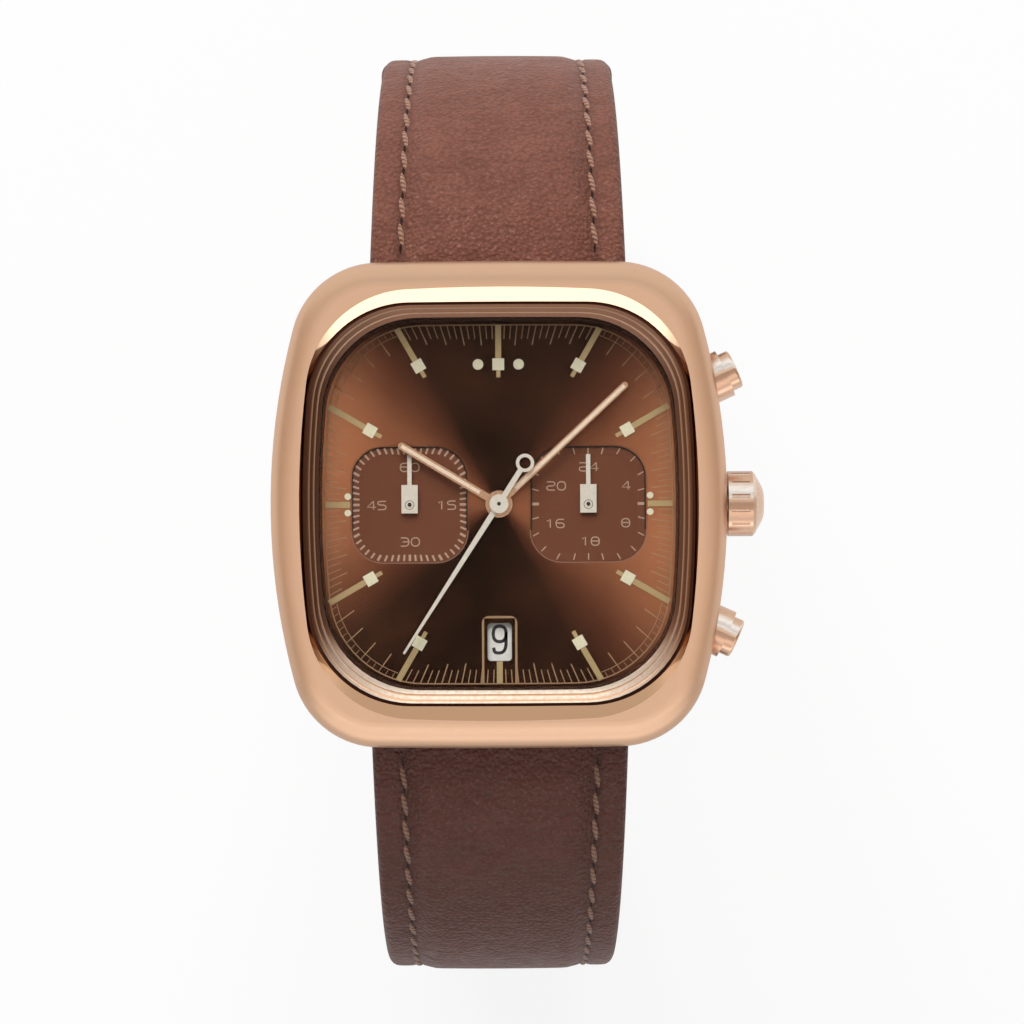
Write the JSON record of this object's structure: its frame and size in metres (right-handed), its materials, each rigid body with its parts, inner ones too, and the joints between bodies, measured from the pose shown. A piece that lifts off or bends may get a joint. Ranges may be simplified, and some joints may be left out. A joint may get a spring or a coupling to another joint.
{
  "type": "wristwatch",
  "caption": "Cushion case wrist watch with a brown sunburst chronograph dial, square sub-dials, a date window, pushers, a crown and an open padded leather strap.",
  "frame": {"origin": "centre of the case back's outer face, on the axis of the hands", "axes": "+Z out of the dial, +Y to 12 o'clock, +X to the crown"},
  "size_m": [0.0419, 0.0838, 0.0731],
  "materials": {
    "rose_gold": "polished rose gold plating",
    "flange": "satin brown plating",
    "steel": "plain steel",
    "crystal": "clear mineral glass",
    "rubber": "black seal",
    "dial": "brown sunburst lacquer",
    "subdial": "matt red-brown lacquer",
    "markers": "pale gold",
    "lume": "luminous paint",
    "white_hand": "off-white lacquer",
    "movement_brass": "machined brass",
    "plastic": "moulded",
    "board": "printed circuit board",
    "copper": "enamelled copper wire",
    "date_white": "white print disc",
    "leather": "brown grained leather"
  },
  "bodies": {
    "case": {"case_body": "rose_gold", "rehaut": "flange", "crystal": "crystal", "crystal_gasket": "rubber", "case_back": "steel", "case_back_gasket": "rubber", "case_back_screws": "rose_gold", "spring_bars": "steel", "crown_tube": "steel", "pusher_tube_upper": "rose_gold", "pusher_tube_lower": "rose_gold", "pusher_spring_upper": "steel", "pusher_spring_lower": "steel", "dial": "dial", "minute_subdial": "subdial", "day_subdial": "subdial", "hour_markers": "markers", "marker_lume": "lume", "date_frame": "markers", "movement_ring": "plastic", "main_plate": "movement_brass", "train_bridge": "movement_brass", "circuit_board": "board", "movement_screws": "steel", "battery": "steel", "motor_coil": "copper", "stator": "steel"},
    "hour": {"hour_wheel": "movement_brass", "hour_hand": "rose_gold", "hour_hand_inlay": "lume"},
    "minute": {"cannon_pinion": "movement_brass", "minute_hand": "rose_gold", "minute_hand_inlay": "lume"},
    "motion_wheel": {"minute_wheel": "movement_brass"},
    "idler": {"day_idler": "movement_brass"},
    "day": {"day_wheel": "movement_brass", "day_hand": "white_hand"},
    "chrono": {"chrono_wheel": "movement_brass", "chrono_hand": "white_hand"},
    "counter": {"counter_wheel": "movement_brass", "counter_hand": "white_hand"},
    "date": {"date_disc": "date_white"},
    "rotor": {"rotor": "steel"},
    "lever": {"setting_lever": "steel"},
    "crown": {"crown": "rose_gold", "crown_gasket": "rubber", "stem": "steel"},
    "pusher_upper": {"pusher_upper": "rose_gold", "pusher_clip_upper": "steel"},
    "pusher_lower": {"pusher_lower": "rose_gold", "pusher_clip_lower": "steel"},
    "buckle_strap": {"strap_buckle_half": "leather", "buckle_bar": "steel", "fixed_keeper": "leather"},
    "tail_strap": {"strap_tail_half": "leather"},
    "buckle": {"buckle_frame": "rose_gold"},
    "tongue": {"buckle_tongue": "rose_gold"},
    "keeper": {"sliding_keeper": "leather"}
  },
  "joints": [
    {"name": "minute_turn", "type": "hinge", "parent": "case", "child": "minute", "pos_m": [0, 0, 0.0065], "axis": [0, 0, -1], "continuous": true},
    {"name": "hour_turn", "type": "hinge", "parent": "case", "child": "hour", "pos_m": [0, 0, 0.0065], "axis": [0, 0, -1], "continuous": true},
    {"name": "motion_wheel_turn", "type": "hinge", "parent": "case", "child": "motion_wheel", "pos_m": [-0.00154, -0.00126, 0.0056], "axis": [0, 0, -1], "continuous": true},
    {"name": "idler_turn", "type": "hinge", "parent": "case", "child": "idler", "pos_m": [0.00299, 0, 0.00575], "axis": [0, 0, -1], "continuous": true},
    {"name": "day_turn", "type": "hinge", "parent": "case", "child": "day", "pos_m": [0.00757, 0, 0.006], "axis": [0, 0, -1], "continuous": true},
    {"name": "chrono_turn", "type": "hinge", "parent": "case", "child": "chrono", "pos_m": [0, 0, 0.0065], "axis": [0, 0, -1], "continuous": true},
    {"name": "counter_turn", "type": "hinge", "parent": "case", "child": "counter", "pos_m": [-0.00757, 0, 0.006], "axis": [0, 0, -1], "continuous": true},
    {"name": "date_turn", "type": "hinge", "parent": "case", "child": "date", "pos_m": [0, 0, 0.00596], "axis": [0, 0, -1], "continuous": true},
    {"name": "rotor_turn", "type": "hinge", "parent": "case", "child": "rotor", "pos_m": [0.0069, -0.0037, 0.003], "axis": [0, 0, -1], "continuous": true},
    {"name": "crown_pull", "type": "slide", "parent": "case", "child": "lever", "axis": [1, 0, 0], "range_m": [0, 0.0012]},
    {"name": "crown_turn", "type": "hinge", "parent": "lever", "child": "crown", "pos_m": [0.02, 0, 0.0044], "axis": [1, 0, 0], "continuous": true},
    {"name": "pusher_upper_press", "type": "slide", "parent": "case", "child": "pusher_upper", "axis": [-0.91, -0.4147, 0], "range_m": [0, 0.0007], "stiffness_N_per_m": 1500, "springref_m": -0.0005},
    {"name": "pusher_lower_press", "type": "slide", "parent": "case", "child": "pusher_lower", "axis": [-0.91, 0.4147, 0], "range_m": [0, 0.0007], "stiffness_N_per_m": 1500, "springref_m": -0.0005},
    {"name": "buckle_strap_swing", "type": "hinge", "parent": "case", "child": "buckle_strap", "pos_m": [0, 0.0184, 0.0029], "axis": [1, 0, 0], "range_deg": [-9, 12]},
    {"name": "tail_strap_swing", "type": "hinge", "parent": "case", "child": "tail_strap", "pos_m": [0, -0.0184, 0.0029], "axis": [-1, 0, 0], "range_deg": [-9, 12]},
    {"name": "buckle_turn", "type": "hinge", "parent": "buckle_strap", "child": "buckle", "pos_m": [0, 0.03261, -0.05385], "axis": [1, 0, 0], "range_deg": [-60, 60]},
    {"name": "tongue_turn", "type": "hinge", "parent": "buckle", "child": "tongue", "pos_m": [0, 0.03261, -0.05385], "axis": [1, 0, 0], "range_deg": [0, 90]},
    {"name": "keeper_slide", "type": "slide", "parent": "buckle_strap", "child": "keeper", "axis": [0, -0.2588, -0.9659], "range_m": [-0.003, 0.0035]}
  ],
  "couplings": [
    {"joint": "hour_turn", "follows": "minute_turn", "ratio": 0.083333},
    {"joint": "motion_wheel_turn", "follows": "minute_turn", "ratio": -0.33333},
    {"joint": "idler_turn", "follows": "minute_turn", "ratio": -0.095238},
    {"joint": "day_turn", "follows": "minute_turn", "ratio": 0.041667},
    {"joint": "counter_turn", "follows": "chrono_turn", "ratio": 0.016667}
  ]
}
